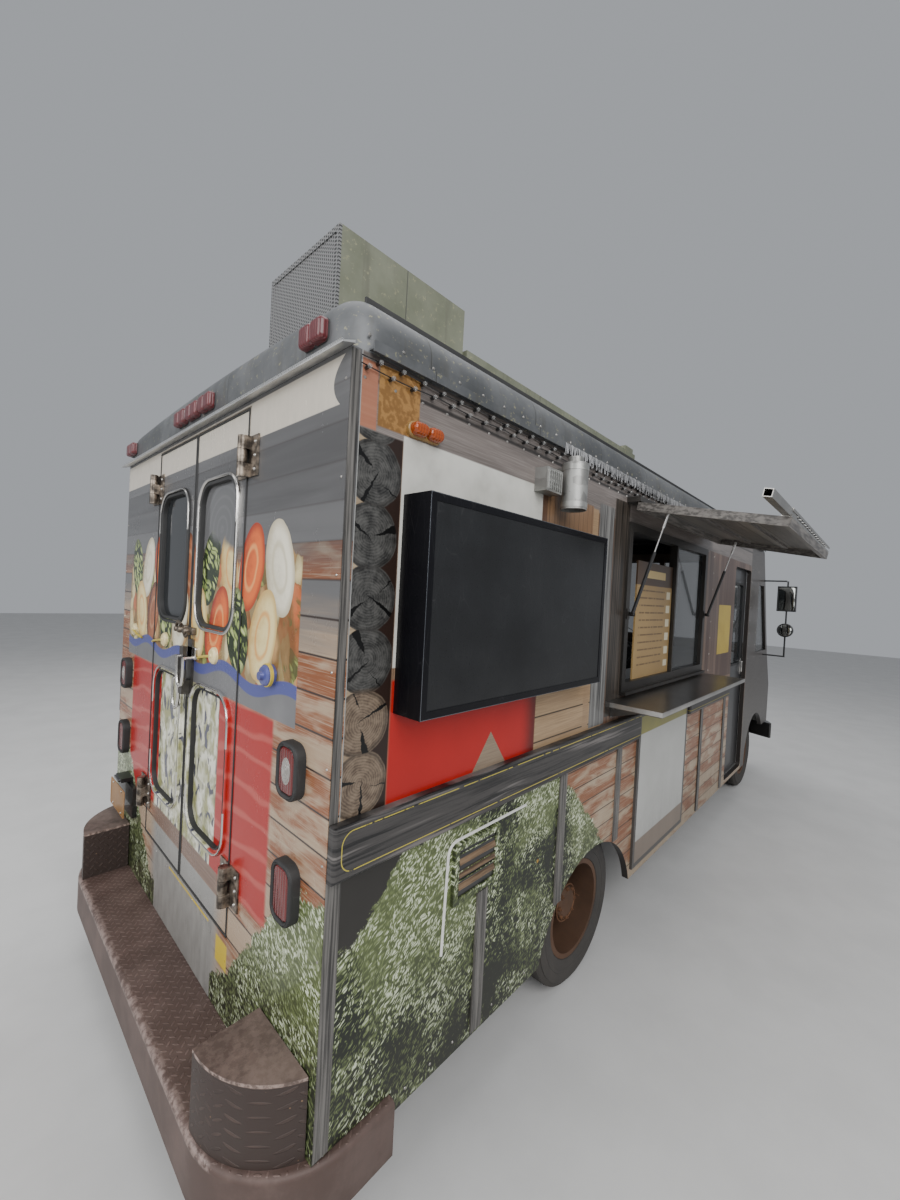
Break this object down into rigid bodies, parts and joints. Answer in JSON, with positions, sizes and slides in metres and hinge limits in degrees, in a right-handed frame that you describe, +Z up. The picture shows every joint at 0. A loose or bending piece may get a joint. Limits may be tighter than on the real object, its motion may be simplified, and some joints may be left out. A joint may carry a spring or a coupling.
{
  "type": "food truck",
  "caption": "Food truck on a walk-in van body: hinged serving hatch on struts, swinging rear doors, sliding cab doors, steered front wheels and a kitchen inside.",
  "frame": {"origin": "on the ground under the middle of the bounding box", "axes": "+X forwards, +Y to the vehicle's left, +Z up"},
  "size_m": [7.015, 3.4592, 3.468],
  "materials": {
    "black_steel": "satin",
    "cast_block": "rough",
    "grey_plastic": "matte",
    "floor_plate": "dull",
    "printed_panel": "printed wrap, satin",
    "roof_sheet": "weathered",
    "front_paint": "printed wrap, satin",
    "clear_glass": "clear",
    "lamp_lens": "ribbed lens",
    "brown_step": "worn brown paint",
    "dark_moulding": "printed dark",
    "black_cabinet": "gloss",
    "screen_face": "gloss",
    "steel_sheet": "brushed",
    "bare_frame": "mill finish",
    "board_face": "matte",
    "roof_box_paint": "weathered paint",
    "red_lens": "lens",
    "mirror_black": "black paint",
    "seat_cover": "worn vinyl",
    "zinc_fittings": "galvanised",
    "kitchen_sheet": "brushed",
    "hatch_sheet": "weathered",
    "strut_channel": "dark zinc",
    "bright_rod": "polished",
    "tyre_rubber": "dull",
    "rim_paint": "rusty brown",
    "dark_door": "satin"
  },
  "bodies": {
    "truck_body": {"chassis_frame": "black_steel", "front_axle": "black_steel", "rear_axle": "black_steel", "engine_block": "cast_block", "engine_cover": "grey_plastic", "underbody_fittings": "black_steel", "floor_pan": "floor_plate", "side_panel_right": "printed_panel", "side_panel_left": "printed_panel", "rear_wall": "printed_panel", "roof_shell": "roof_sheet", "front_cowl": "front_paint", "fixed_glass": "clear_glass", "front_grille": "black_steel", "headlamps": "lamp_lens", "front_bumper": "black_steel", "rear_step": "brown_step", "side_mouldings": "dark_moulding", "screen_cabinet": "black_cabinet", "screen_glass": "screen_face", "serving_shelf": "steel_sheet", "serving_frame": "bare_frame", "hatch_header": "bare_frame", "boards": "board_face", "roof_boxes": "roof_box_paint", "body_lamps": "red_lens", "plate_bracket": "black_steel", "door_mirrors": "mirror_black", "driver_seat": "seat_cover", "dashboard": "grey_plastic", "cab_door_tracks": "bare_frame", "wall_fittings": "zinc_fittings", "kitchen_fittings": "kitchen_sheet"},
    "serving_hatch": {"serving_hatch": "hatch_sheet", "hatch_rail": "strut_channel"},
    "strut_barrels": {"strut_barrels": "black_steel"},
    "strut_rods": {"strut_rods": "bright_rod"},
    "knuckle_right": {"knuckle_right": "black_steel"},
    "front_wheel_right": {"front_tyre_right": "tyre_rubber", "front_rim_right": "rim_paint"},
    "rear_wheels_right": {"rear_tyres_right": "tyre_rubber", "rear_rims_right": "rim_paint"},
    "rear_door_right": {"rear_door_right": "printed_panel", "rear_door_glass_right": "clear_glass"},
    "cab_door_right": {"cab_door_right": "dark_door", "cab_door_glass_right": "clear_glass"},
    "knuckle_left": {"knuckle_left": "black_steel"},
    "front_wheel_left": {"front_tyre_left": "tyre_rubber", "front_rim_left": "rim_paint"},
    "rear_wheels_left": {"rear_tyres_left": "tyre_rubber", "rear_rims_left": "rim_paint"},
    "rear_door_left": {"rear_door_left": "printed_panel", "rear_door_glass_left": "clear_glass"},
    "cab_door_left": {"cab_door_left": "dark_door", "cab_door_glass_left": "clear_glass"}
  },
  "joints": [
    {"name": "steer_left", "type": "hinge", "parent": "truck_body", "child": "knuckle_left", "pos_m": [2.6175, 1.03825, 0.405], "axis": [0, 0, 1], "range_deg": [-35, 35]},
    {"name": "spin_front_left", "type": "hinge", "parent": "knuckle_left", "child": "front_wheel_left", "pos_m": [2.6175, 1.19825, 0.405], "axis": [0, 1, 0], "continuous": true},
    {"name": "spin_rear_left", "type": "hinge", "parent": "truck_body", "child": "rear_wheels_left", "pos_m": [-1.5625, 1.10825, 0.405], "axis": [0, 1, 0], "continuous": true},
    {"name": "rear_door_left_swing", "type": "hinge", "parent": "truck_body", "child": "rear_door_left", "pos_m": [-3.3105, 0.78625, 1.8], "axis": [0, 0, -1], "range_deg": [0, 175]},
    {"name": "cab_door_left_slide", "type": "slide", "parent": "truck_body", "child": "cab_door_left", "axis": [-1, 0, 0], "range_m": [0, 0.64]},
    {"name": "steer_right", "type": "hinge", "parent": "truck_body", "child": "knuckle_right", "pos_m": [2.6175, -0.56175, 0.405], "axis": [0, 0, 1], "range_deg": [-35, 35]},
    {"name": "spin_front_right", "type": "hinge", "parent": "knuckle_right", "child": "front_wheel_right", "pos_m": [2.6175, -0.72175, 0.405], "axis": [0, 1, 0], "continuous": true},
    {"name": "spin_rear_right", "type": "hinge", "parent": "truck_body", "child": "rear_wheels_right", "pos_m": [-1.5625, -0.63175, 0.405], "axis": [0, 1, 0], "continuous": true},
    {"name": "rear_door_right_swing", "type": "hinge", "parent": "truck_body", "child": "rear_door_right", "pos_m": [-3.3105, -0.30975, 1.8], "axis": [0, 0, 1], "range_deg": [0, 175]},
    {"name": "cab_door_right_slide", "type": "slide", "parent": "truck_body", "child": "cab_door_right", "axis": [-1, 0, 0], "range_m": [0, 0.64]},
    {"name": "hatch_swing", "type": "hinge", "parent": "truck_body", "child": "serving_hatch", "pos_m": [-0.5335, -1.00775, 2.717], "axis": [1, 0, 0], "range_deg": [0, 79.2]},
    {"name": "strut_lean", "type": "hinge", "parent": "truck_body", "child": "strut_barrels", "pos_m": [-1.3205, -0.98375, 2.08], "axis": [1, 0, 0], "range_deg": [-17.2, 0]},
    {"name": "strut_slide", "type": "slide", "parent": "strut_barrels", "child": "strut_rods", "axis": [0, -0.2829, 0.9591], "range_m": [-0.1255, 0]}
  ],
  "couplings": [
    {"joint": "steer_right", "follows": "steer_left", "ratio": 1},
    {"joint": "strut_lean", "follows": "hatch_swing", "ratio": -0.21651},
    {"joint": "strut_slide", "follows": "hatch_swing", "m_per_rad": -0.0876}
  ]
}
